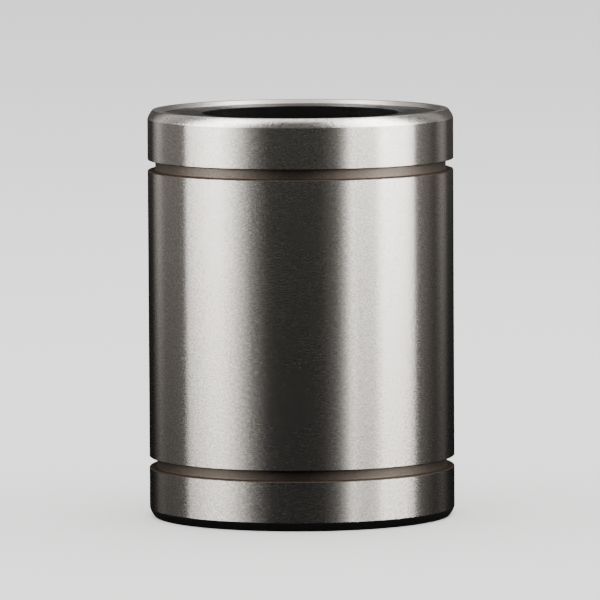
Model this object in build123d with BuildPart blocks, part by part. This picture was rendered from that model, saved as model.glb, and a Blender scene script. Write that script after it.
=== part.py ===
"""Linear ball bushing for a 40 mm shaft: sleeve, cage, six ball circuits, seals and wire rings.

Millimetres. The origin is the centre of the lower end face, and +Z runs along the bore.
"""

from build123d import *
from math import acos, cos, degrees, radians, sin, tan
import os

# Sleeve
shaft_diameter = 40.0
outside_diameter = 60.0
length = 80.0
ring_groove_span = 60.5
ring_groove_width = 2.1
ring_groove_diameter = 57.0
end_chamfer_reach = 1.0
end_chamfer_angle = 30.0
end_edge_radius = 0.5
relief_radius = 27.0
mouth_chamfer_reach = 0.5
mouth_chamfer_height = 0.7
edge_break = 0.12

# Balls and their circuits
circuit_count = 6
ball_diameter = 5.556
ball_play = 0.007
balls_in_row = 10
row_pitch = 5.65
return_pitch_radius = 23.95
turn_radius = 4.0
turn_lean = 8.0
turn_ball_angle = 45.0
first_circuit_angle = 20.0

# Raised raceways inside the sleeve
land_width = 4.4
land_length = 56.0
land_ramp = 1.3
land_gap = 0.012
land_root = 0.3

# Cage
cage_inner_radius = 20.4
cage_outer_radius = 26.7
cage_length = 72.4
cage_edge = 0.4
channel_clearance = 0.15
channel_run_on = 0.6

# Seals, their cores and the wire rings
seal_depth = 0.7
seal_thickness = 3.0
seal_outer_radius = 26.95
seal_lip_radius = 20.05
seal_lip_height = 1.0
seal_lip_root_radius = 21.9
core_inner_radius = 22.4
core_outer_radius = 26.1
core_thickness = 0.8
wire_radius = 0.45
wire_groove_radius = 0.5
wire_depth = 1.4
wire_gap_angle = 14.0
wire_gap_middle = -60.0
seal_rebate_radius = 26.4
seal_rebate_depth = 1.3

# Worked out from the sizes above
outer_radius = outside_diameter / 2
end_chamfer_height = end_chamfer_reach / tan(radians(end_chamfer_angle))
groove_floor_radius = ring_groove_diameter / 2
mid_height = length / 2
lower_groove_bottom = (length - ring_groove_span) / 2
upper_groove_top = length - lower_groove_bottom
ball_radius = ball_diameter / 2
loaded_pitch_radius = shaft_diameter / 2 + ball_play + ball_radius
land_radius = loaded_pitch_radius + ball_radius + land_gap
channel_radius = ball_radius + channel_clearance
turn_arc_to_ball = turn_radius * radians(turn_ball_angle)
straight_half = row_pitch * (balls_in_row - 1) / 2 + turn_arc_to_ball
column_spacing = 2 * turn_radius
column_angle = degrees(
    acos(
        (loaded_pitch_radius**2 + return_pitch_radius**2 - column_spacing**2)
        / (2 * loaded_pitch_radius * return_pitch_radius)
    )
)
wire_height = length - wire_depth
seal_top = length - seal_depth
seal_bottom = seal_top - seal_thickness

os.makedirs("parts", exist_ok=True)


def write(part, label):
    """Label a finished piece and write it under the same name."""
    part.label = label
    export_step(part, f"parts/{label}.step")


def at_angle(radius, angle, height=0.0):
    """Point at a radius and an angle round the bore."""
    return Vector(radius * cos(radians(angle)), radius * sin(radians(angle)), height)


class Circuit:
    """Directions of one ball circuit whose loaded row stands at the given angle."""

    def __init__(self, loaded_angle):
        self.loaded_angle = loaded_angle
        self.return_angle = loaded_angle + column_angle
        self.loaded = at_angle(loaded_pitch_radius, self.loaded_angle)
        self.returning = at_angle(return_pitch_radius, self.return_angle)
        self.across = (self.returning - self.loaded).normalized()
        self.outward = self.across.cross(Vector(0, 0, 1))
        middle = (self.loaded + self.returning) * 0.5
        self.turn_centre = middle + Vector(0, 0, mid_height + straight_half)
        lean = radians(turn_lean)
        self.turn_up = Vector(0, 0, cos(lean)) + self.outward * sin(lean)
        self.turn_axis = self.outward * cos(lean) - Vector(0, 0, sin(lean))

    def row(self, foot):
        """Ball centres of a straight row above the given point."""
        first = mid_height - row_pitch * (balls_in_row - 1) / 2
        return [foot + Vector(0, 0, first + row_pitch * i) for i in range(balls_in_row)]

    def upper_turn(self):
        """Ball centres of the upper turn."""
        side = self.across * (turn_radius * cos(radians(turn_ball_angle)))
        rise = self.turn_up * (turn_radius * sin(radians(turn_ball_angle)))
        return [self.turn_centre + rise - side, self.turn_centre + rise + side]

    def lower_turn(self):
        """Ball centres of the lower turn, the upper one mirrored about mid-length."""
        return [Vector(p.X, p.Y, length - p.Z) for p in self.upper_turn()]


# Outer sleeve: the turned profile, then the ground raceways.
with BuildPart() as raceway_land:
    with BuildSketch(Plane.XZ) as land_profile:
        with BuildLine():
            Polyline(
                (land_radius, mid_height - land_length / 2 + land_ramp),
                (land_radius, mid_height + land_length / 2 - land_ramp),
                (relief_radius, mid_height + land_length / 2),
                (relief_radius + land_root, mid_height + land_length / 2),
                (relief_radius + land_root, mid_height - land_length / 2),
                (relief_radius, mid_height - land_length / 2),
                close=True,
            )
        make_face()
    land_arc = degrees(land_width / land_radius)
    revolve(axis=Axis.Z, revolution_arc=land_arc)

with BuildPart() as outer_sleeve:
    with BuildSketch(Plane.XZ) as sleeve_profile:
        with BuildLine():
            Polyline(
                (relief_radius, mouth_chamfer_height),
                (relief_radius + mouth_chamfer_reach, 0),
                (outer_radius - end_chamfer_reach, 0),
                (outer_radius, end_chamfer_height),
                (outer_radius, length - end_chamfer_height),
                (outer_radius - end_chamfer_reach, length),
                (relief_radius + mouth_chamfer_reach, length),
                (relief_radius, length - mouth_chamfer_height),
                close=True,
            )
        make_face()
        for groove_bottom in (lower_groove_bottom, upper_groove_top - ring_groove_width):
            with BuildLine():
                Polyline(
                    (groove_floor_radius, groove_bottom),
                    (outer_radius - edge_break, groove_bottom),
                    (outer_radius, groove_bottom - edge_break),
                    (outer_radius + 1, groove_bottom - edge_break),
                    (outer_radius + 1, groove_bottom + ring_groove_width + edge_break),
                    (outer_radius, groove_bottom + ring_groove_width + edge_break),
                    (outer_radius - edge_break, groove_bottom + ring_groove_width),
                    (groove_floor_radius, groove_bottom + ring_groove_width),
                    close=True,
                )
            make_face(mode=Mode.SUBTRACT)
        with Locations((relief_radius, wire_height), (relief_radius, length - wire_height)):
            Circle(wire_groove_radius, mode=Mode.SUBTRACT)
    revolve(axis=Axis.Z)
    end_edge = outer_radius - end_chamfer_reach
    circles = outer_sleeve.edges().filter_by(GeomType.CIRCLE)
    fillet(circles.filter_by(lambda edge: abs(edge.radius - end_edge) < 1e-6), radius=end_edge_radius)
    with PolarLocations(0, circuit_count, start_angle=first_circuit_angle - land_arc / 2):
        add(raceway_land.part)
write(outer_sleeve.part, "outer_sleeve")

# Cage: a ring with six closed ball channels, open outward, each with a window to the shaft.
first_circuit = Circuit(first_circuit_angle)

with BuildPart() as ball_channel:
    for foot, angle in (
        (first_circuit.loaded, first_circuit.loaded_angle),
        (first_circuit.returning, first_circuit.return_angle),
    ):
        column_plane = Plane(
            origin=foot + Vector(0, 0, mid_height), x_dir=at_angle(1, angle), z_dir=(0, 0, 1)
        )
        with BuildSketch(column_plane):
            Circle(channel_radius)
            Rectangle(relief_radius - foot.length, 2 * channel_radius, align=(Align.MIN, Align.CENTER))
        extrude(amount=straight_half + channel_run_on)
    turn_plane = Plane(
        origin=first_circuit.turn_centre,
        x_dir=first_circuit.across,
        z_dir=first_circuit.across.cross(first_circuit.turn_axis),
    )
    with BuildSketch(turn_plane):
        with Locations((turn_radius, 0)):
            Circle(channel_radius)
            Rectangle(2 * channel_radius, relief_radius - cage_inner_radius, align=(Align.CENTER, Align.MIN))
    revolve(axis=Axis(first_circuit.turn_centre, first_circuit.turn_axis), revolution_arc=180)
    mirror(about=Plane.XY.offset(mid_height))

with BuildPart() as ball_retainer:
    with BuildSketch(Plane.XY.offset(mid_height - cage_length / 2)):
        Circle(cage_outer_radius)
        Circle(cage_inner_radius, mode=Mode.SUBTRACT)
    extrude(amount=cage_length)
    chamfer(ball_retainer.edges().filter_by(GeomType.CIRCLE), length=cage_edge)
    with PolarLocations(0, circuit_count):
        add(ball_channel.part, mode=Mode.SUBTRACT)
write(ball_retainer.part, "ball_retainer")

# Upper seal, its core and its wire ring; the lower ones are their mirror images.
with BuildPart() as upper_seal:
    with BuildSketch(Plane.XZ) as seal_profile:
        with BuildLine():
            Polyline(
                (seal_lip_radius, seal_top - seal_lip_height),
                (seal_lip_root_radius, seal_bottom),
                (core_inner_radius, seal_bottom),
                (core_inner_radius, seal_bottom + core_thickness),
                (core_outer_radius, seal_bottom + core_thickness),
                (core_outer_radius, seal_bottom),
                (seal_outer_radius, seal_bottom),
                (seal_outer_radius, seal_top - seal_rebate_depth),
                (seal_rebate_radius, seal_top - seal_rebate_depth),
                (seal_rebate_radius, seal_top),
                (seal_lip_radius, seal_top),
                close=True,
            )
        make_face()
    revolve(axis=Axis.Z)

with BuildPart() as upper_seal_core:
    with BuildSketch(Plane.XY.offset(seal_bottom)):
        Circle(core_outer_radius)
        Circle(core_inner_radius, mode=Mode.SUBTRACT)
    extrude(amount=core_thickness)

with BuildPart() as upper_snap_ring:
    wire_start = wire_gap_middle + wire_gap_angle / 2
    with BuildSketch(Plane((0, 0, 0), x_dir=at_angle(1, wire_start), z_dir=at_angle(1, wire_start - 90))):
        with Locations((relief_radius, wire_height)):
            Circle(wire_radius)
    revolve(axis=Axis.Z, revolution_arc=360 - wire_gap_angle)

for upper_piece, name in (
    (upper_seal, "seal"),
    (upper_seal_core, "seal_core"),
    (upper_snap_ring, "snap_ring"),
):
    write(upper_piece.part, f"upper_{name}")
    with BuildPart() as lower_piece:
        mirror(upper_piece.part, about=Plane.XY.offset(mid_height))
    write(lower_piece.part, f"lower_{name}")

# Balls: four groups in each circuit.
for number in range(circuit_count):
    circuit = Circuit(first_circuit_angle + number * 360 / circuit_count)
    for name, centres in (
        ("loaded_balls", circuit.row(circuit.loaded)),
        ("return_balls", circuit.row(circuit.returning)),
        ("upper_turn_balls", circuit.upper_turn()),
        ("lower_turn_balls", circuit.lower_turn()),
    ):
        with BuildPart() as ball_group:
            with Locations(*centres):
                Sphere(ball_radius)
        write(ball_group.part, f"{name}_{number + 1}")
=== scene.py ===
"""Looks of the linear ball bushing: steel sleeve, rubber lip seals, wire rings, resin cage and balls.

Metres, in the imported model's frame: origin at the centre of the lower end face, +Z along the bore.
"""

import bpy
import math
from mathutils import Matrix, Vector


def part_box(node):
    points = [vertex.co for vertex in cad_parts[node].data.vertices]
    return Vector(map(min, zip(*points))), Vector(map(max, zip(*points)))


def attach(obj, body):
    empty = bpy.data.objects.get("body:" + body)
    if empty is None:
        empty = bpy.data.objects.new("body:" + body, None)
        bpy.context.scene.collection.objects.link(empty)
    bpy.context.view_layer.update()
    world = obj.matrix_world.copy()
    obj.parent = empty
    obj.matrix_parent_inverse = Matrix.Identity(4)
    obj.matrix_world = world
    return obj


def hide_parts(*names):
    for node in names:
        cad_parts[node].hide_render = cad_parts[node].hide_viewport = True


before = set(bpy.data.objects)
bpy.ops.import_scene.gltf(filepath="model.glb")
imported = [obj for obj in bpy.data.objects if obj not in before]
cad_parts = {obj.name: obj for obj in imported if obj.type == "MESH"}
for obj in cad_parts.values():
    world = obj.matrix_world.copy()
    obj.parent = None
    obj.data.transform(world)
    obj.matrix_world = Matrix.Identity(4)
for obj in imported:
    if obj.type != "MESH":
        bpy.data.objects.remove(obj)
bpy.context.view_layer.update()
ROOT = "sleeve"
MM = 0.001

# Sizes read from the frame
sleeve_low, sleeve_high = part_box("outer_sleeve")
HEIGHT = sleeve_high.z
OUTER_RADIUS = sleeve_high.x
MID_HEIGHT = HEIGHT / 2

# Sleeve details, the same as the CAD part's
GROOVE_SPAN = 60.5 * MM
GROOVE_WIDTH = 2.1 * MM
GROOVE_FLOOR_RADIUS = 28.5 * MM
END_CHAMFER_REACH = 1.0 * MM
END_CHAMFER_ANGLE = 30.0
END_CHAMFER_HEIGHT = END_CHAMFER_REACH / math.tan(math.radians(END_CHAMFER_ANGLE))
RELIEF_RADIUS = 27.0 * MM
MOUTH_CHAMFER_REACH = 0.5 * MM
MOUTH_CHAMFER_HEIGHT = 0.7 * MM
LAND_RADIUS = 25.575 * MM
LAND_WIDTH = 4.4 * MM
LAND_LENGTH = 56.0 * MM
LAND_RAMP = 1.3 * MM
FIRST_LAND_ANGLE = 20.0
CIRCUITS = 6
WIRE_RADIUS = 0.45 * MM
WIRE_GROOVE_RADIUS = 0.5 * MM
WIRE_HEIGHT = HEIGHT - 1.4 * MM
WIRE_GAP_MIDDLE = -60.0
WIRE_GAP = 14.0

# Small edges that only the looks need: corner radii, and the degrees that an end chamfer turns
END_EDGE_RADIUS = 0.15 * MM
GROOVE_EDGE_RADIUS = 0.09 * MM
LEDGE_EDGE_RADIUS = 0.16 * MM
GROOVE_CORNER_RADIUS = 0.22 * MM
SHARP_EDGE_RADIUS = 0.06 * MM
CHAMFER_CROWN = 24.0

# Fineness of the meshes: how far a support point stands from an edge, two angles, two counts
SUPPORT = 0.03 * MM
LAND_FLANK = 0.5
SEAL_COLUMN_STEP = 1.5
WIRE_COLUMNS = 240
WIRE_SIDES = 20

# Seal, with its lip as it stands free of a shaft
SEAL_TOP = HEIGHT - 0.7 * MM
SEAL_BOTTOM = SEAL_TOP - 3.0 * MM
SEAL_OUTER_RADIUS = 26.95 * MM
SEAL_REBATE_RADIUS = 26.4 * MM
SEAL_REBATE_DEPTH = 1.3 * MM
FREE_LIP_RADIUS = 19.3 * MM
FREE_LIP_EDGE = 0.15 * MM
SEAL_EDGE_RADIUS = 0.05 * MM
SEAL_REBATE_EDGE_RADIUS = 0.08 * MM
SEAL_REBATE_CORNER_RADIUS = 0.06 * MM
SEAL_FACE_EDGE_RADIUS = 0.12 * MM
SEAL_RIBS = 4
SEAL_RIB_START = 0.75
SEAL_RIB_PITCH = 1.35 * MM
SEAL_RIB_HEIGHT = 0.14 * MM
SEAL_RIB_FOOT = 0.2 * MM
SEAL_RIB_CREST = 0.12 * MM
SEAL_RIB_EDGE = 0.04 * MM
LIP_ROOT_RADIUS = 21.9 * MM
LIP_ROOT_EDGE_RADIUS = 0.15 * MM
CORE_INNER_RADIUS = 22.4 * MM
CORE_OUTER_RADIUS = 26.1 * MM
CORE_THICKNESS = 0.8 * MM

# The photograph's view
VIEW_DISTANCE = 1.657
VIEW_ELEVATION = 5.248
VIEW_ROLL = -0.306
VIEW_LENS = 506.1
AIM_RIGHT = -0.25 * MM
AIM_UP = 2.35 * MM

# Studio: light colours, how bright the surroundings are to the floor and to the steel, and the floor
WARM = (1.0, 0.965, 0.93)
BROWN = (1.0, 0.94, 0.88)
FILL = (1.0, 0.99, 0.86)
DAYLIGHT = (0.97, 0.98, 1.0)
BRIGHT_TO_FLOOR = 2.0
DIM_IN_STEEL = 0.008
FLOOR_HALF_WIDTH = 6.0


# ---------------------------------------------------------------- material nodes

def toned(colour, factor):
    """A colour made darker or lighter."""
    return [part * factor for part in colour]


class Finish:
    """One material's node tree, built with short calls."""

    def __init__(self, name):
        self.material = bpy.data.materials.new(name)
        self.material.use_nodes = True
        self.tree = self.material.node_tree
        self.tree.nodes.clear()
        self.shader = self.tree.nodes.new("ShaderNodeBsdfPrincipled")
        output = self.tree.nodes.new("ShaderNodeOutputMaterial")
        self.tree.links.new(self.shader.outputs["BSDF"], output.inputs["Surface"])
        self.place = self.tree.nodes.new("ShaderNodeTexCoord").outputs["Object"]

    def put(self, node, socket, value):
        """Link a socket, or set its value."""
        if isinstance(value, bpy.types.NodeSocket):
            self.tree.links.new(value, node.inputs[socket])
        else:
            node.inputs[socket].default_value = value

    def set(self, **values):
        """Set the shader's own sockets; an underscore stands for a space."""
        for name, value in values.items():
            self.put(self.shader, name.replace("_", " "), value)

    def stretched(self, x, y, z):
        """The object's coordinates, scaled along each axis."""
        node = self.tree.nodes.new("ShaderNodeMapping")
        self.put(node, "Vector", self.place)
        self.put(node, "Scale", (x, y, z))
        return node.outputs["Vector"]

    def noise(self, vector, scale=1.0, detail=2.0, roughness=0.5, distortion=0.0):
        """Soft noise round 0.5."""
        node = self.tree.nodes.new("ShaderNodeTexNoise")
        for socket, value in (
            ("Vector", vector),
            ("Scale", scale),
            ("Detail", detail),
            ("Roughness", roughness),
            ("Distortion", distortion),
        ):
            self.put(node, socket, value)
        return node.outputs["Fac"]

    def cells(self, vector, scale):
        """Distance from the nearest of many scattered points."""
        node = self.tree.nodes.new("ShaderNodeTexVoronoi")
        self.put(node, "Vector", vector)
        self.put(node, "Scale", scale)
        return node.outputs["Distance"]

    def combine(self, operation, a, b):
        """Two values put together by a math operation."""
        node = self.tree.nodes.new("ShaderNodeMath")
        node.operation = operation
        self.put(node, 0, a)
        self.put(node, 1, b)
        return node.outputs[0]

    def remap(self, value, low, high, to_low, to_high):
        """A value from one range brought to another, and kept inside it."""
        node = self.tree.nodes.new("ShaderNodeMapRange")
        for socket, number in (
            ("Value", value),
            ("From Min", low),
            ("From Max", high),
            ("To Min", to_low),
            ("To Max", to_high),
        ):
            self.put(node, socket, number)
        return node.outputs["Result"]

    def blend(self, factor, a, b):
        """Colour a at factor 0, colour b at factor 1."""
        node = self.tree.nodes.new("ShaderNodeMix")
        node.data_type = "RGBA"
        self.put(node, "Factor", factor)
        self.put(node, 6, a if isinstance(a, bpy.types.NodeSocket) else (*a, 1))
        self.put(node, 7, b if isinstance(b, bpy.types.NodeSocket) else (*b, 1))
        return node.outputs[2]

    def bump(self, height, distance, normal=None):
        """A normal tilted by a height pattern, on top of another normal if there is one."""
        node = self.tree.nodes.new("ShaderNodeBump")
        self.put(node, "Height", height)
        self.put(node, "Distance", distance)
        if normal is not None:
            self.put(node, "Normal", normal)
        return node.outputs["Normal"]

    def along_turning(self):
        """Tangents round the bore, so that the grain stretches reflections along it."""
        node = self.tree.nodes.new("ShaderNodeTangent")
        node.direction_type = "RADIAL"
        node.axis = "Z"
        self.put(self.shader, "Tangent", node.outputs["Tangent"])


def steel(name, colour, stain, roughness, anisotropy, line_height, grain, pit_depth=6e-6):
    """Machined steel with lines round the bore, an uneven oily film and a few small pits."""
    finish = Finish(name)
    lines = finish.noise(finish.stretched(500, 500, 1 / line_height), detail=3.0, roughness=0.6)
    flecks = finish.noise(finish.stretched(2000, 2000, 3000), detail=2.0, roughness=0.6)
    film = finish.noise(finish.place, scale=85.0, detail=4.0, roughness=0.6, distortion=0.4)
    speckle = finish.noise(finish.place, scale=2600.0, detail=2.0, roughness=0.7)
    pits = finish.remap(finish.cells(finish.place, 420.0), 0.02, 0.09, 1.0, 0.0)
    rare = finish.remap(finish.noise(finish.place, scale=190.0, detail=1.0), 0.60, 0.68, 0.0, 1.0)
    pits = finish.combine("MULTIPLY", pits, rare)
    fleck = finish.remap(flecks, 0.3, 0.7, 0.0, 1.0)
    grained = finish.blend(fleck, toned(colour, 1 - grain), toned(colour, 1 + grain))
    stained = finish.blend(finish.remap(film, 0.35, 0.75, 0.0, 0.22), grained, stain)
    speckled = finish.blend(finish.remap(speckle, 0.35, 0.60, 0.25, 0.0), stained, toned(stain, 0.8))
    pitted = finish.blend(finish.combine("MULTIPLY", pits, 0.7), speckled, toned(stain, 0.25))
    rough = finish.remap(lines, 0.25, 0.75, roughness * 0.98, roughness * 1.02)
    rough = finish.combine("ADD", rough, finish.remap(film, 0.3, 0.8, -0.003, 0.005))
    normal = finish.bump(lines, line_height * 0.003)
    normal = finish.bump(finish.combine("SUBTRACT", speckle, pits), pit_depth, normal)
    finish.set(Base_Color=pitted, Metallic=1.0, Roughness=rough, Normal=normal)
    finish.set(Anisotropic=anisotropy, Anisotropic_Rotation=0.25)
    finish.along_turning()
    return finish.material


def hardened_skin(name):
    """Turned chamfer left with its hardened skin: rough, mottled, with blue-grey specks."""
    finish = Finish(name)
    lumps = finish.noise(finish.place, scale=1500.0, detail=4.0, roughness=0.7)
    grit = finish.noise(finish.place, scale=5200.0, detail=2.0, roughness=0.6)
    turning = finish.noise(finish.stretched(90, 90, 6500), detail=2.0)
    patches = finish.noise(finish.place, scale=160.0, detail=3.0, distortion=0.5)
    pale = finish.blend(patches, (0.72, 0.695, 0.67), (0.60, 0.595, 0.595))
    specks = finish.remap(lumps, 0.36, 0.50, 0.75, 0.0)
    mottled = finish.blend(specks, pale, (0.34, 0.36, 0.40))
    rough = finish.remap(grit, 0.3, 0.7, 0.15, 0.24)
    normal = finish.bump(finish.combine("ADD", lumps, finish.combine("MULTIPLY", grit, 0.25)), 4e-5)
    normal = finish.bump(turning, 4e-6, normal)
    finish.set(Base_Color=mottled, Metallic=1.0, Roughness=rough, Normal=normal, Anisotropic=0.2)
    finish.along_turning()
    return finish.material


def rubber(name, tone=1.0, specular=0.5, coat=0.25):
    """Black nitrile rubber, moulded, with a thin film of oil and a little dust."""
    finish = Finish(name)
    mould = finish.noise(finish.place, scale=1500.0, detail=3.0, roughness=0.6)
    turned = finish.noise(finish.stretched(50, 50, 50), scale=6.0, detail=3.0)
    dust = finish.remap(finish.noise(finish.place, scale=4200.0, detail=1.0), 0.66, 0.74, 0.0, 0.35)
    dark = toned((0.021, 0.021, 0.022), tone)
    light = toned((0.038, 0.036, 0.035), tone)
    dusty = finish.blend(dust, finish.blend(turned, dark, light), toned((0.16, 0.15, 0.14), tone))
    rough = finish.remap(turned, 0.3, 0.7, 0.26, 0.40)
    finish.set(Base_Color=dusty, Roughness=rough, Normal=finish.bump(mould, 8e-6))
    finish.set(Specular_IOR_Level=specular, Coat_Weight=coat, Coat_Roughness=0.22)
    return finish.material


def resin(name):
    """Dark moulded acetal of the cage, satin, with faint flow marks and grease."""
    finish = Finish(name)
    flow = finish.noise(finish.stretched(90, 90, 35), scale=1.0, detail=4.0, distortion=1.2)
    texture = finish.noise(finish.place, scale=2200.0, detail=2.0)
    colour = finish.blend(flow, (0.018, 0.019, 0.021), (0.034, 0.034, 0.036))
    rough = finish.remap(flow, 0.3, 0.7, 0.34, 0.50)
    finish.set(Base_Color=colour, Roughness=rough, Normal=finish.bump(texture, 5e-6))
    finish.set(Coat_Weight=0.15, Coat_Roughness=0.18)
    return finish.material


def polished_ball(name):
    """Lapped chrome steel with hair scratches and a light oil film."""
    finish = Finish(name)
    film = finish.noise(finish.place, scale=420.0, detail=3.0, distortion=0.6)
    scratches = finish.noise(finish.stretched(9000, 700, 2500), scale=1.0, detail=2.0)
    colour = finish.blend(film, (0.56, 0.56, 0.57), (0.66, 0.65, 0.63))
    rough = finish.remap(film, 0.3, 0.7, 0.05, 0.12)
    finish.set(Base_Color=colour, Metallic=1.0, Roughness=rough, Normal=finish.bump(scratches, 2e-7))
    return finish.material


def pale_floor(name):
    """Matt pale paper with a very slight tooth."""
    finish = Finish(name)
    tooth = finish.noise(finish.place, scale=900.0, detail=3.0)
    cloud = finish.noise(finish.place, scale=3.0, detail=2.0)
    colour = finish.blend(cloud, (0.70, 0.70, 0.69), (0.74, 0.74, 0.73))
    finish.set(Base_Color=colour, Roughness=0.9, Normal=finish.bump(tooth, 3e-5))
    return finish.material


# ---------------------------------------------------------------- turned meshes

def rounded(outline, arc_steps=6):
    """A closed outline of (radius, height, corner radius, zone) with its corners rounded.

    Each corner becomes an arc with a support point on both sides, which keeps the wide faces flat
    in shading. The zone is that of the side that starts at the point. An arc takes the zone of the
    side before it, or of the side after it where the side before is ground.
    """
    points = []
    count = len(outline)
    for i, (x, z, corner, zone) in enumerate(outline):
        here = Vector((x, z))
        before = Vector(outline[i - 1][:2]) - here
        after = Vector(outline[(i + 1) % count][:2]) - here
        if corner <= 0:
            points.append((here, zone))
            continue
        turn = before.angle(after)
        reach = corner / math.tan(turn / 2)
        start = here + before.normalized() * reach
        end = here + after.normalized() * reach
        inward = (before.normalized() + after.normalized()).normalized()
        centre = here + inward * (corner / math.sin(turn / 2))
        last_zone = outline[i - 1][3]
        arc_zone = zone if last_zone == "ground" else last_zone
        if before.length > reach + 3 * SUPPORT:
            points.append((start + before.normalized() * SUPPORT, last_zone))
        for step in range(arc_steps + 1):
            spoke = start.lerp(end, step / arc_steps) - centre
            step_zone = zone if step == arc_steps else arc_zone
            points.append((centre + spoke.normalized() * corner, step_zone))
        if after.length > reach + 3 * SUPPORT:
            points.append((end + after.normalized() * SUPPORT, zone))
    return points


def crowned(start, end, turn, zone, steps=7):
    """Outline points of a slightly convex chamfer whose direction turns by some degrees on the way."""
    a, b = Vector(start), Vector(end)
    half = math.radians(turn) / 2
    chord = b - a
    outward = Vector((chord.y, -chord.x)).normalized()
    radius = chord.length / (2 * math.sin(half))
    centre = (a + b) / 2 - outward * radius * math.cos(half)
    points = []
    for i in range(steps + 1):
        angle = half * (2 * i / steps - 1)
        spoke = outward * math.cos(angle) + chord.normalized() * math.sin(angle)
        points.append((*(centre + spoke * radius), 0, zone))
    return points


def turned_piece(name, points, angles, zones, radius_at=None, closed=True):
    """A piece turned about the bore from outline points, with one material for each zone.

    A closed piece goes all the way round. An open one gets a flat face at both ends.
    """
    columns = len(angles)
    rows = len(points)
    vertices = []
    for angle in angles:
        cosine = math.cos(math.radians(angle))
        sine = math.sin(math.radians(angle))
        for point, _zone in points:
            radius = radius_at(point, angle) if radius_at else point.x
            vertices.append((radius * cosine, radius * sine, point.y))
    faces, face_zones = [], []
    names = list(zones)
    for i in range(columns if closed else columns - 1):
        j = (i + 1) % columns
        for k in range(rows):
            m = (k + 1) % rows
            faces.append((i * rows + k, j * rows + k, j * rows + m, i * rows + m))
            face_zones.append(names.index(points[k][1]))
    if not closed:
        faces.append(tuple(range(rows)))
        faces.append(tuple((columns - 1) * rows + k for k in range(rows))[::-1])
        face_zones += [0, 0]
    mesh = bpy.data.meshes.new(name)
    mesh.from_pydata(vertices, [], faces)
    mesh.polygons.foreach_set("material_index", face_zones)
    mesh.polygons.foreach_set("use_smooth", [True] * len(faces))
    for zone in names:
        mesh.materials.append(zones[zone])
    mesh.update()
    piece = bpy.data.objects.new(name, mesh)
    bpy.context.scene.collection.objects.link(piece)
    return piece


def seat(piece, slot, *nodes):
    """Ride on the sleeve and stand for CAD nodes; the slot is not used."""
    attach(piece, ROOT)
    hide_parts(*nodes)


def land_angles():
    """Angles at which the lands stand round the bore."""
    return [FIRST_LAND_ANGLE + 360 * i / CIRCUITS for i in range(CIRCUITS)]


def sleeve_angles(land_half):
    """Column angles: an even fan, plus a close pair at each flank of each land."""
    special = []
    for middle in land_angles():
        for offset in (-land_half - LAND_FLANK, -land_half, land_half, land_half + LAND_FLANK):
            special.append((middle + offset) % 360)
    too_close = 0.2
    even = [a for a in range(360) if min(abs(a - b) for b in special) > too_close]
    return sorted(even + special)


def sleeve_outline():
    """The sleeve's outline from the foot of the bore, up the outside and in to the bore's top edge."""
    lower_groove = MID_HEIGHT - GROOVE_SPAN / 2
    upper_groove = MID_HEIGHT + GROOVE_SPAN / 2 - GROOVE_WIDTH
    lower_rim = (OUTER_RADIUS - END_CHAMFER_REACH, 0)
    lower_shoulder = (OUTER_RADIUS, END_CHAMFER_HEIGHT)
    upper_rim = (OUTER_RADIUS - END_CHAMFER_REACH, HEIGHT)
    upper_shoulder = (OUTER_RADIUS, HEIGHT - END_CHAMFER_HEIGHT)
    outline = [
        (RELIEF_RADIUS + MOUTH_CHAMFER_REACH, 0, SHARP_EDGE_RADIUS, "face"),
        *crowned(lower_rim, lower_shoulder, CHAMFER_CROWN, "chamfer")[:-1],
        (*lower_shoulder, 0, "ground"),
        (OUTER_RADIUS, END_CHAMFER_HEIGHT + SUPPORT, 0, "ground"),
    ]
    for foot in (lower_groove, upper_groove):
        outline += [
            (OUTER_RADIUS, foot, LEDGE_EDGE_RADIUS, "ledge"),
            (GROOVE_FLOOR_RADIUS, foot, GROOVE_CORNER_RADIUS, "groove"),
            (GROOVE_FLOOR_RADIUS, foot + GROOVE_WIDTH, GROOVE_CORNER_RADIUS, "groove"),
            (OUTER_RADIUS, foot + GROOVE_WIDTH, GROOVE_EDGE_RADIUS, "ground"),
        ]
    outline += [
        (OUTER_RADIUS, HEIGHT - END_CHAMFER_HEIGHT - SUPPORT, 0, "ground"),
        *crowned(upper_shoulder, upper_rim, CHAMFER_CROWN, "chamfer")[:-1],
        (*upper_rim, END_EDGE_RADIUS, "face"),
        (RELIEF_RADIUS + MOUTH_CHAMFER_REACH, HEIGHT, SHARP_EDGE_RADIUS, "mouth"),
        (RELIEF_RADIUS, HEIGHT - MOUTH_CHAMFER_HEIGHT, SHARP_EDGE_RADIUS, "bore"),
    ]
    return rounded(outline)


def wire_groove(height, steps=8):
    """Half-round groove for a wire ring in the bore's wall, from its upper to its lower edge."""
    points = []
    for i in range(steps + 1):
        turn = math.pi / 2 - math.pi * i / steps
        radius = RELIEF_RADIUS + WIRE_GROOVE_RADIUS * math.cos(turn)
        points.append((Vector((radius, height + WIRE_GROOVE_RADIUS * math.sin(turn))), "bore"))
    return points


def bore_outline(low, high):
    """Outline points down the bore, with both wire grooves and the ends and ramps of the lands."""
    points = wire_groove(WIRE_HEIGHT)
    for z in (high, high - LAND_RAMP, low + LAND_RAMP, low):
        points.append((Vector((RELIEF_RADIUS, z)), "bore"))
    points += wire_groove(HEIGHT - WIRE_HEIGHT)
    points += rounded([
        (RELIEF_RADIUS, HEIGHT / 4, 0, "bore"),
        (RELIEF_RADIUS, MOUTH_CHAMFER_HEIGHT, SHARP_EDGE_RADIUS, "mouth"),
        (RELIEF_RADIUS + MOUTH_CHAMFER_REACH, 0, 0, "mouth"),
    ])[1:-1]
    return points


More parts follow.
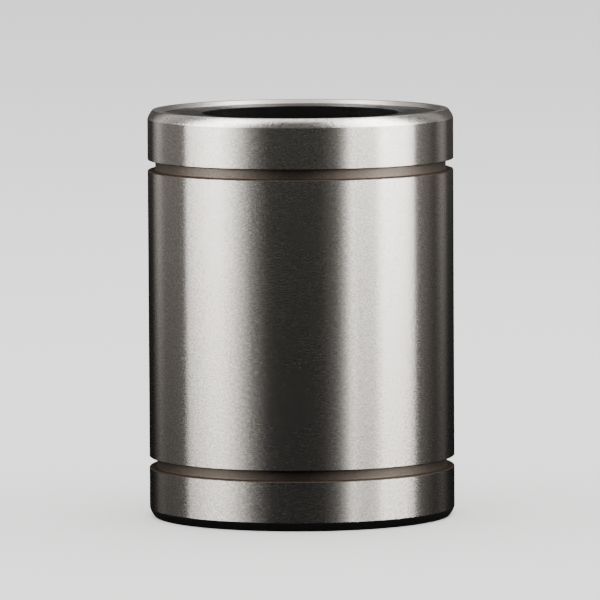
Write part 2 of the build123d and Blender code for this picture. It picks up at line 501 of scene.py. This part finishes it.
def sleeve_finishes():
    """The sleeve's materials, by the zones of its outline."""
    return {
        "ground": steel(
            "ground_steel", colour=(0.67, 0.65, 0.62), stain=(0.54, 0.50, 0.46), roughness=0.27,
            anisotropy=0.98, line_height=0.11 * MM, grain=0.25, pit_depth=3e-7,
        ),
        "chamfer": hardened_skin("hardened_chamfer"),
        "groove": steel(
            "turned_groove", colour=(0.145, 0.128, 0.112), stain=(0.09, 0.075, 0.061), roughness=0.46,
            anisotropy=0.25, line_height=0.14 * MM, grain=0.16, pit_depth=1.5e-5,
        ),
        "ledge": steel(
            "groove_ledge", colour=(0.09, 0.07, 0.055), stain=(0.05, 0.04, 0.03), roughness=0.50,
            anisotropy=0.20, line_height=0.14 * MM, grain=0.2, pit_depth=1e-5,
        ),
        "face": steel(
            "faced_end", colour=(0.68, 0.66, 0.63), stain=(0.48, 0.44, 0.40), roughness=0.30,
            anisotropy=0.30, line_height=0.14 * MM, grain=0.08, pit_depth=8e-6,
        ),
        "mouth": steel(
            "turned_mouth", colour=(0.54, 0.52, 0.50), stain=(0.42, 0.38, 0.34), roughness=0.34,
            anisotropy=0.30, line_height=0.14 * MM, grain=0.10, pit_depth=8e-6,
        ),
        "bore": steel(
            "hardened_bore", colour=(0.38, 0.36, 0.34), stain=(0.22, 0.19, 0.17), roughness=0.38,
            anisotropy=0.50, line_height=0.16 * MM, grain=0.08, pit_depth=5e-6,
        ),
    }


def sleeve():
    """The steel sleeve, with its edges broken and its raceway lands raised in the bore."""
    low = MID_HEIGHT - LAND_LENGTH / 2
    high = MID_HEIGHT + LAND_LENGTH / 2
    land_half = math.degrees(LAND_WIDTH / 2 / LAND_RADIUS)
    hair = 1e-9
    hair_angle = 0.01

    def radius_at(point, angle):
        """The outline's own radius, or the land's where a land stands on the bore's wall."""
        on_wall = abs(point.x - RELIEF_RADIUS) < hair
        if not on_wall or not low + hair < point.y < high - hair:
            return point.x
        gap = min(abs((angle - middle + 180) % 360 - 180) for middle in land_angles())
        return LAND_RADIUS if gap < land_half + hair_angle else point.x

    points = sleeve_outline() + bore_outline(low, high)
    angles = sleeve_angles(land_half)
    piece = turned_piece("ground_sleeve", points, angles, sleeve_finishes(), radius_at)
    seat(piece, "sleeve_steel", "outer_sleeve")


def mirrored(points):
    """Outline points turned end for end about mid-length, in the order that keeps faces outward."""
    flipped = [(Vector((p.x, HEIGHT - p.y)), zone) for p, zone in points]
    zones = [zone for _p, zone in flipped]
    places = [p for p, _zone in flipped][::-1]
    return list(zip(places, (zones[-1:] + zones[:-1])[::-1]))


def seal_ribs():
    """Outline corners of the low ribs on the seal's face, from the outermost rib inward."""
    valley = SEAL_TOP - SEAL_RIB_HEIGHT
    corners = []
    for i in range(SEAL_RIBS):
        middle = SEAL_REBATE_RADIUS - (i + SEAL_RIB_START) * SEAL_RIB_PITCH
        corners += [
            (middle + SEAL_RIB_FOOT, valley, SEAL_RIB_EDGE, "rubber"),
            (middle + SEAL_RIB_CREST, SEAL_TOP, SEAL_RIB_EDGE, "rubber"),
            (middle - SEAL_RIB_CREST, SEAL_TOP, SEAL_RIB_EDGE, "rubber"),
            (middle - SEAL_RIB_FOOT, valley, SEAL_RIB_EDGE, "rubber"),
        ]
    return corners


def seals():
    """Both lip seals: a face with low moulded ribs, a wire rebate and a thin free lip."""
    outline = [
        (SEAL_OUTER_RADIUS, SEAL_BOTTOM, SEAL_EDGE_RADIUS, "rubber"),
        (SEAL_OUTER_RADIUS, SEAL_TOP - SEAL_REBATE_DEPTH, SEAL_REBATE_EDGE_RADIUS, "rubber"),
        (SEAL_REBATE_RADIUS, SEAL_TOP - SEAL_REBATE_DEPTH, SEAL_REBATE_CORNER_RADIUS, "rubber"),
        (SEAL_REBATE_RADIUS, SEAL_TOP - SEAL_RIB_HEIGHT, SEAL_FACE_EDGE_RADIUS, "rubber"),
        *seal_ribs(),
        (FREE_LIP_RADIUS, SEAL_TOP, SEAL_EDGE_RADIUS, "inside"),
        (FREE_LIP_RADIUS, SEAL_TOP - FREE_LIP_EDGE, SEAL_EDGE_RADIUS, "inside"),
        (LIP_ROOT_RADIUS, SEAL_BOTTOM, LIP_ROOT_EDGE_RADIUS, "rubber"),
        (CORE_INNER_RADIUS, SEAL_BOTTOM, 0, "rubber"),
        (CORE_INNER_RADIUS, SEAL_BOTTOM + CORE_THICKNESS, 0, "rubber"),
        (CORE_OUTER_RADIUS, SEAL_BOTTOM + CORE_THICKNESS, 0, "rubber"),
        (CORE_OUTER_RADIUS, SEAL_BOTTOM, 0, "rubber"),
    ]
    points = rounded(outline)
    zones = {
        "rubber": rubber("nitrile_rubber"),
        # The lip's inner faces take the rubber at tone 0.8, a darker copy: painted shade for the
        # shadowed inside of the bore.
        "inside": rubber("lip_underside_painted_shade", tone=0.8, specular=0.35, coat=0.0),
    }
    angles = [i * SEAL_COLUMN_STEP for i in range(round(360 / SEAL_COLUMN_STEP))]
    seat(turned_piece("upper_lip_seal", points, angles, zones), "seal_rubber", "upper_seal")
    seat(turned_piece("lower_lip_seal", mirrored(points), angles, zones), "seal_rubber", "lower_seal")


def wire_rings():
    """Both round wire rings, open by a small gap, with close columns at the cut ends."""
    wire = steel(
        "drawn_wire", colour=(0.60, 0.58, 0.55), stain=(0.36, 0.32, 0.28), roughness=0.26,
        anisotropy=0.5, line_height=0.2 * MM, grain=0.06,
    )
    start = WIRE_GAP_MIDDLE + WIRE_GAP / 2
    sweep = 360 - WIRE_GAP
    near_end = [0.0, 0.12, 0.3, 0.6]
    inset = 1.0
    angles = [start + offset for offset in near_end]
    angles += [start + inset + (sweep - 2 * inset) * i / WIRE_COLUMNS for i in range(WIRE_COLUMNS + 1)]
    angles += [start + sweep - offset for offset in reversed(near_end)]
    for name, height, node in (
        ("upper_wire_ring", WIRE_HEIGHT, "upper_snap_ring"),
        ("lower_wire_ring", HEIGHT - WIRE_HEIGHT, "lower_snap_ring"),
    ):
        points = []
        for i in range(WIRE_SIDES):
            turn = 2 * math.pi * i / WIRE_SIDES
            radius = RELIEF_RADIUS + WIRE_RADIUS * math.cos(turn)
            points.append((Vector((radius, height + WIRE_RADIUS * math.sin(turn))), "wire"))
        ring = turned_piece(name, points, angles, {"wire": wire}, closed=False)
        seat(ring, "spring_steel", node)


def cad_finishes():
    """Materials for the CAD nodes that show as they are."""
    ball = polished_ball("lapped_ball_steel")
    cage = resin("cage_resin")
    core = steel(
        "pressed_core", colour=(0.5, 0.49, 0.47), stain=(0.34, 0.30, 0.27), roughness=0.35,
        anisotropy=0.2, line_height=0.2 * MM, grain=0.06,
    )
    for name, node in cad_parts.items():
        if "balls" in name:
            material = ball
        elif name == "ball_retainer":
            material = cage
        elif name.endswith("core"):
            material = core
        else:
            continue
        node.data.materials.clear()
        node.data.materials.append(material)


# ---------------------------------------------------------------- studio

def floor():
    """A wide pale floor that the steel doesn't reflect."""
    half = FLOOR_HALF_WIDTH
    corners = [(-half, -half, 0), (half, -half, 0), (half, half, 0), (-half, half, 0)]
    mesh = bpy.data.meshes.new("studio_floor")
    mesh.from_pydata(corners, [], [(0, 1, 2, 3)])
    mesh.materials.append(pale_floor("pale_paper"))
    ground = bpy.data.objects.new("studio_floor", mesh)
    bpy.context.scene.collection.objects.link(ground)
    ground.visible_glossy = False
    ground.visible_shadow = False


def panel(name, distance, low, high, radiance, colour, stops):
    """A flat upright light that faces the bushing, graded across by (azimuth, brightness) stops.

    Azimuths are degrees round from the camera, positive to its right. Radiance sets how bright the
    panel looks at brightness 1, whatever its size. It shows in reflections only.
    """
    start = stops[0][0]
    end = stops[-1][0]
    middle = (start + end) / 2
    half_width = distance * math.tan(math.radians((end - start) / 2))
    light = bpy.data.lights.new(name, "AREA")
    light.shape = "RECTANGLE"
    light.size = 2 * half_width
    light.size_y = high - low
    light.energy = radiance * math.pi * light.size * light.size_y
    light.color = colour
    grade(light, [
        (0.5 + distance * math.tan(math.radians(azimuth - middle)) / (2 * half_width), brightness)
        for azimuth, brightness in stops
    ])
    lamp = bpy.data.objects.new(name, light)
    turn = math.radians(middle)
    away = Vector((math.sin(turn), -math.cos(turn), 0))
    lamp.location = away * distance + Vector((0, 0, (low + high) / 2))
    lamp.rotation_euler = away.to_track_quat("Z", "Y").to_euler()
    lamp.visible_camera = False
    lamp.visible_diffuse = False
    bpy.context.scene.collection.objects.link(lamp)


def grade(light, stops):
    """Vary a light's brightness across its width, from its left side as the bushing sees it."""
    light.use_nodes = True
    tree = light.node_tree
    place = tree.nodes.new("ShaderNodeSeparateXYZ")
    tree.links.new(tree.nodes.new("ShaderNodeNewGeometry").outputs["Parametric"], place.inputs["Vector"])
    ramp = tree.nodes.new("ShaderNodeValToRGB")
    tree.links.new(place.outputs["X"], ramp.inputs["Fac"])
    elements = ramp.color_ramp.elements
    elements[0].position = stops[0][0]
    elements[1].position = stops[-1][0]
    elements[0].color = (stops[0][1],) * 3 + (1,)
    elements[1].color = (stops[-1][1],) * 3 + (1,)
    for position, brightness in stops[1:-1]:
        elements.new(position).color = (brightness,) * 3 + (1,)
    tree.links.new(ramp.outputs["Color"], tree.nodes["Emission"].inputs["Strength"])


def side_lights():
    """The bright boxes at both sides, with dark between them for the middle of the sleeve."""
    panel("left_box", distance=0.5, low=0.05, high=0.95, radiance=8.8, colour=WARM, stops=[
        (-94.2, 0.65), (-84, 0.8), (-71, 1.1), (-62, 1.05),
        (-53, 0.6), (-46, 0.24), (-38, 0.048), (-25, 0.002),
    ])
    panel("right_box", distance=0.5, low=0.05, high=0.95, radiance=11.0, colour=WARM, stops=[
        (18, 0.005), (28.2, 0.015), (33.2, 0.08), (38.8, 0.64), (43, 0.3),
        (57, 0.24), (63, 1.1), (84, 1.1), (93.2, 0.62),
    ])
    panel("right_window", distance=0.2, low=0.10, high=0.3, radiance=5.0, colour=WARM, stops=[
        (41, 1.0), (60, 1.0),
    ])


def rear_lights():
    """The dim warm boxes behind, which draw the thin lines beside both edges of the sleeve."""
    panel("left_rear", distance=0.5, low=0.03, high=0.6, radiance=0.95, colour=BROWN, stops=[
        (-170, 0.07), (-146, 0.05), (-140.5, 0.42), (-132, 1.0),
        (-122, 0.42), (-108, 0.42), (-94.4, 0.4),
    ])
    panel("right_rear", distance=0.5, low=0.03, high=0.6, radiance=0.95, colour=BROWN, stops=[
        (93.4, 0.6), (110, 0.3), (118, 0.11), (124, 0.28),
        (130, 0.58), (137, 0.4), (142, 0.11), (170, 0.07),
    ])


def front_fill():
    """A faint cool panel that keeps the dark middle of the sleeve from going black."""
    panel("front_fill", distance=0.22, low=0.10, high=0.4, radiance=0.12, colour=FILL, stops=[
        (-26, 1.0), (22, 1.0),
    ])


def overhead_box():
    """The wide soft light above, from a little in front of the bushing to well behind it."""
    light = bpy.data.lights.new("overhead_box", "AREA")
    light.shape = "RECTANGLE"
    light.size = 1.2
    light.size_y = 1.2
    light.energy = 10
    light.color = WARM
    lamp = bpy.data.objects.new("overhead_box", light)
    lamp.location = (0, 0.2, 0.85)
    lamp.visible_camera = False
    bpy.context.scene.collection.objects.link(lamp)


def surroundings():
    """Even pale light for the floor, and a dim room for what the steel reflects."""
    world = bpy.data.worlds.new("studio")
    bpy.context.scene.world = world
    world.use_nodes = True
    tree = world.node_tree
    background = tree.nodes["Background"]
    background.inputs["Color"].default_value = (*DAYLIGHT, 1)
    rays = tree.nodes.new("ShaderNodeLightPath")
    level = tree.nodes.new("ShaderNodeMapRange")
    level.inputs["To Min"].default_value = BRIGHT_TO_FLOOR
    level.inputs["To Max"].default_value = DIM_IN_STEEL
    tree.links.new(rays.outputs["Is Glossy Ray"], level.inputs["Value"])
    tree.links.new(level.outputs["Result"], background.inputs["Strength"])


def camera():
    """The photograph's view: far away, a little above, looking just over mid-height."""
    elevation = math.radians(VIEW_ELEVATION)
    roll = math.radians(VIEW_ROLL)
    back = Vector((0, -math.cos(elevation), math.sin(elevation)))
    level_up = Vector((0, math.sin(elevation), math.cos(elevation)))
    level_right = Vector((1, 0, 0))
    right = math.cos(roll) * level_right + math.sin(roll) * level_up
    up = math.cos(roll) * level_up - math.sin(roll) * level_right
    place = Vector((0, 0, MID_HEIGHT)) + back * VIEW_DISTANCE
    aim = Vector((0, 0, MID_HEIGHT)) + right * AIM_RIGHT + up * AIM_UP
    look_back = (place - aim).normalized()
    side = up.cross(look_back).normalized()
    top = look_back.cross(side)
    data = bpy.data.cameras.new("photo_view")
    data.lens = VIEW_LENS
    data.sensor_width = 36
    data.clip_end = 50
    eye = bpy.data.objects.new("photo_view", data)
    turn = Matrix((side, top, look_back)).transposed()
    eye.matrix_world = Matrix.Translation(place) @ turn.to_4x4()
    bpy.context.scene.collection.objects.link(eye)
    bpy.context.scene.camera = eye


camera()
floor()
side_lights()
rear_lights()
front_fill()
overhead_box()
surroundings()
sleeve()
seals()
wire_rings()
cad_finishes()
